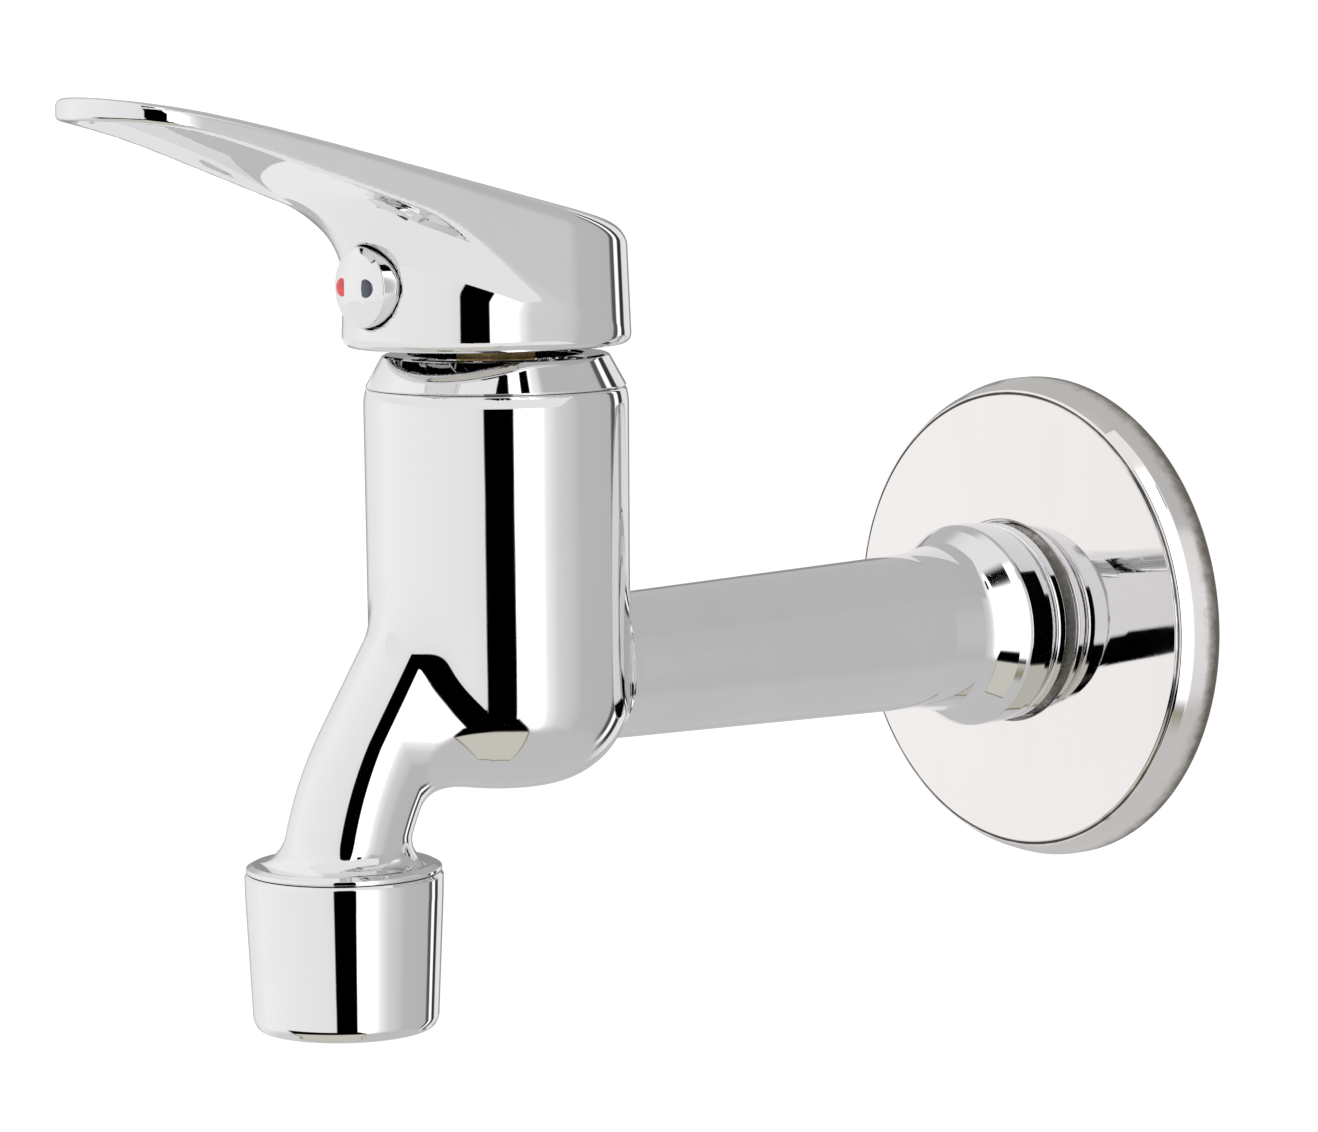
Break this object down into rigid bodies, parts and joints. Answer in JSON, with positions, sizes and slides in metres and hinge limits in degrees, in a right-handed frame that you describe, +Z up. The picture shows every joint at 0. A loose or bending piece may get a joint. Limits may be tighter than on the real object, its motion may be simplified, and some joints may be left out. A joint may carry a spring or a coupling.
{
  "type": "hose bib",
  "caption": "Chrome single-lever wall tap: long threaded shank with a round wall flange, upright barrel, short leaning spout with a screw-on aerator, broad lever on top.",
  "frame": {"origin": "centre of the wall flange's back face, which is the wall plane, on the shank's axis", "axes": "+Y runs into the wall along the shank, +Z up, so that the tap stands out along -Y with its spout pointing down and its lever on top"},
  "size_m": [0.066, 0.1713, 0.1149],
  "materials": {
    "chrome_body": "bright chrome plate on brass",
    "chrome_handle": "bright chrome plate on cast metal",
    "chrome_sleeve": "bright chrome plate on brass",
    "chrome_flange": "bright chrome plate, thin and mottled on the back edge",
    "bare_brass": "machined",
    "steel": "machined stainless",
    "steel_mesh": "woven wire",
    "black_rubber": "moulded nitrile",
    "white_plastic": "moulded acetal",
    "alumina": "lapped",
    "red_enamel": "glossy",
    "blue_enamel": "glossy"
  },
  "bodies": {
    "tap": {"tap_body": "chrome_body", "inlet_shank": "chrome_body", "cartridge_housing": "white_plastic", "cartridge_base": "white_plastic", "base_seals": "black_rubber", "fixed_ceramic_disc": "alumina", "cartridge_nut": "bare_brass", "nut_slip_ring": "white_plastic", "bonnet_collar": "chrome_body"},
    "flange": {"wall_flange": "chrome_flange", "wall_seal_ring": "black_rubber"},
    "swivel": {"spindle_guide": "white_plastic", "guide_o_ring": "black_rubber", "stem_pin": "steel"},
    "lever": {"lever_stem": "bare_brass", "lever_handle": "chrome_handle", "handle_grub_screw": "steel", "index_button": "chrome_handle", "hot_dot": "red_enamel", "cold_dot": "blue_enamel"},
    "disc_slide": {"moving_ceramic_disc": "alumina", "disc_carrier": "white_plastic"},
    "outlet_insert": {"aerator_gasket": "black_rubber", "aerator_insert": "white_plastic", "aerator_diffuser": "white_plastic", "aerator_screens": "steel_mesh"},
    "outlet_sleeve": {"aerator_sleeve": "chrome_sleeve"}
  },
  "joints": [
    {"name": "handle_swivel", "type": "hinge", "parent": "tap", "child": "swivel", "pos_m": [0, -0.096, 0.0275], "axis": [0, 0, 1], "range_deg": [-50, 50]},
    {"name": "handle_lift", "type": "hinge", "parent": "swivel", "child": "lever", "pos_m": [0, -0.096, 0.0275], "axis": [-1, 0, 0], "range_deg": [0, 18]},
    {"name": "disc_shift", "type": "slide", "parent": "swivel", "child": "disc_slide", "axis": [0, -1, 0], "range_m": [0, 0.0029]},
    {"name": "flange_slide", "type": "slide", "parent": "tap", "child": "flange", "axis": [0, -1, 0], "range_m": [0, 0.001]},
    {"name": "sleeve_drop", "type": "slide", "parent": "tap", "child": "outlet_insert", "axis": [0, 0, -1], "range_m": [0, 0.005]},
    {"name": "sleeve_unscrew", "type": "hinge", "parent": "outlet_insert", "child": "outlet_sleeve", "pos_m": [0, -0.1207, -0.03], "axis": [0, 0, -1], "range_deg": [0, 1810]}
  ],
  "couplings": [
    {"joint": "disc_shift", "follows": "handle_lift", "m_per_rad": 0.009},
    {"joint": "sleeve_unscrew", "follows": "sleeve_drop", "rad_per_m": 6283.2}
  ]
}
